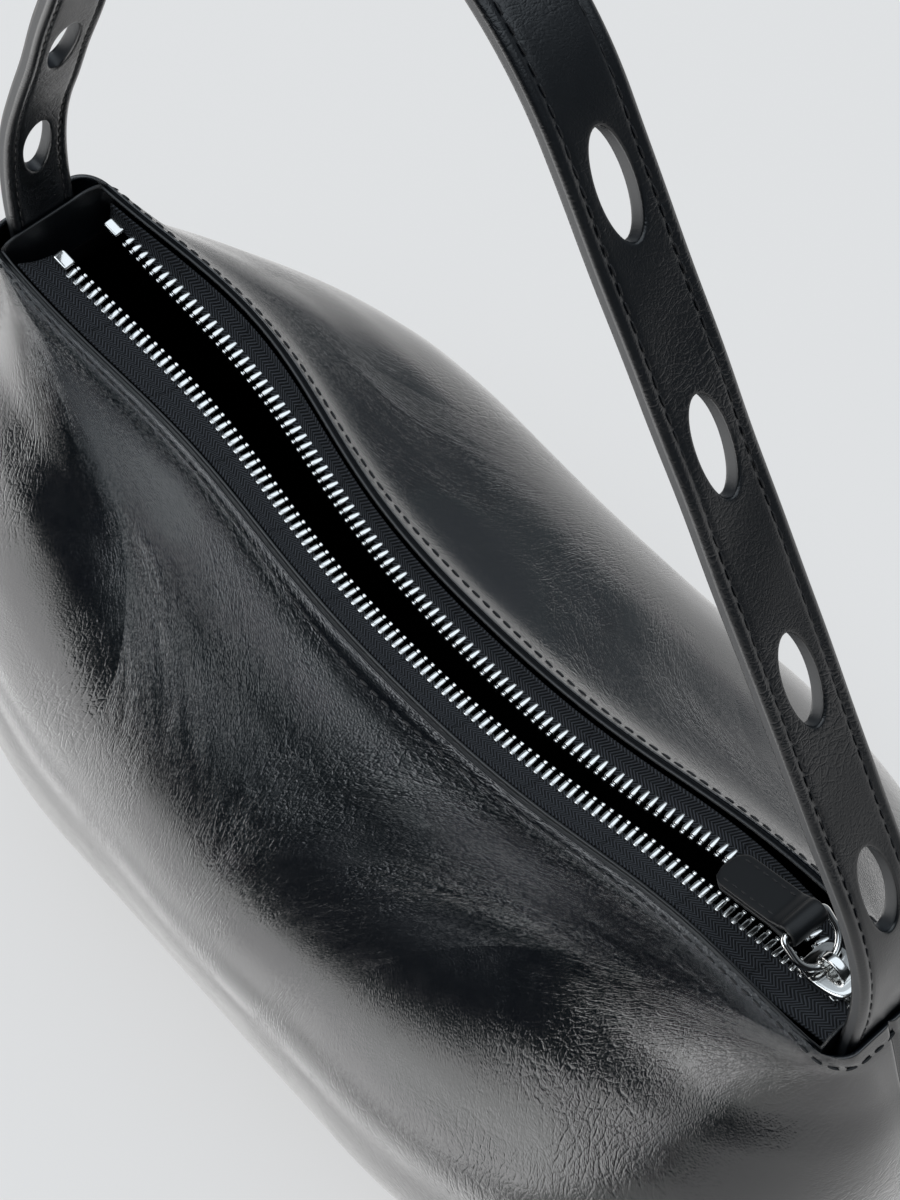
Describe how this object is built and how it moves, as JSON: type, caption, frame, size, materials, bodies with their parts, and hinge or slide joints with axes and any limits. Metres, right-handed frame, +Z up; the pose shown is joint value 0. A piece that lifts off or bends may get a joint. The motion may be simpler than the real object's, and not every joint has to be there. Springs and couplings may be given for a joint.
{
  "type": "shoulder bag",
  "caption": "Soft rounded leather shoulder bag with a sagging zipped mouth, a ring puller and an arched strap with oval punched holes.",
  "frame": {"origin": "on the floor, under the middle of the bag's length and depth", "axes": "+X along the mouth towards the slider's end, +Y from the front panel to the back panel, +Z up"},
  "size_m": [0.332, 0.1625, 0.3734],
  "materials": {
    "bag_leather": "smooth black leather with a fine grain and a soft sheen",
    "trim_leather": "smooth black leather, painted at the cut edges",
    "strap_leather": "thick black leather with rounded painted edges and edge stitching",
    "strap_core": "bonded reinforcement, hidden between the two strap faces",
    "lining_cloth": "black woven lining",
    "base_board": "stiff fibre board, hidden under the lining",
    "zip_tape": "black herringbone tape",
    "zip_teeth": "bright polished metal teeth",
    "zip_metal": "plated metal"
  },
  "bodies": {
    "bag": {"front_panel": "bag_leather", "back_panel": "bag_leather", "base_panel": "bag_leather", "base_board": "base_board", "base_lining": "lining_cloth", "front_lining": "lining_cloth", "back_lining": "lining_cloth", "front_facing": "trim_leather", "back_facing": "trim_leather", "left_seam_strip": "trim_leather", "right_seam_strip": "trim_leather", "left_strap_anchor": "strap_leather", "right_strap_anchor": "strap_leather", "bottom_stop": "zip_metal"},
    "strap": {"strap_outer": "strap_leather", "strap_core": "strap_core", "strap_inner": "strap_leather"},
    "slider": {"slider_body": "zip_metal", "slider_bridge": "zip_metal"},
    "ring": {"pull_ring": "zip_metal"},
    "puller": {"puller_tab": "strap_leather"},
    "zip_front": {"front_zip_tape": "zip_tape", "front_zip_teeth": "zip_teeth", "front_top_stop": "zip_metal"},
    "zip_back": {"back_zip_tape": "zip_tape", "back_zip_teeth": "zip_teeth", "back_top_stop": "zip_metal"}
  },
  "joints": [
    {"name": "strap_swing", "type": "hinge", "parent": "bag", "child": "strap", "pos_m": [0, -0.0023, 0.171], "axis": [1, 0, 0], "range_deg": [-60, 60]},
    {"name": "zip_slide", "type": "hinge", "parent": "bag", "child": "slider", "pos_m": [0, 0.00389, 0.57389], "axis": [0.0164, 0.9999, 0], "range_deg": [0, 30], "deforming": ["front_zip_tape", "front_zip_teeth", "front_top_stop", "back_zip_tape", "back_zip_teeth", "back_top_stop"]},
    {"name": "ring_tilt", "type": "hinge", "parent": "slider", "child": "ring", "pos_m": [0.1252, 0.00184, 0.15645], "axis": [0.0164, 0.9999, 0], "range_deg": [-8, 60]},
    {"name": "puller_tilt", "type": "hinge", "parent": "ring", "child": "puller", "pos_m": [0.1166, 0.00198, 0.16247], "axis": [0.0164, 0.9999, 0], "range_deg": [-6, 50]},
    {"name": "front_row_close", "type": "hinge", "parent": "bag", "child": "zip_front", "pos_m": [0.136, -0.001, 0.157], "axis": [0, 0, 1], "range_deg": [-1.26, 0]},
    {"name": "back_row_close", "type": "hinge", "parent": "bag", "child": "zip_back", "pos_m": [0.136, 0.004, 0.157], "axis": [0, 0, 1], "range_deg": [0, 1.26]}
  ],
  "couplings": [
    {"joint": "front_row_close", "follows": "zip_slide", "ratio": -0.042},
    {"joint": "back_row_close", "follows": "zip_slide", "ratio": 0.042}
  ]
}
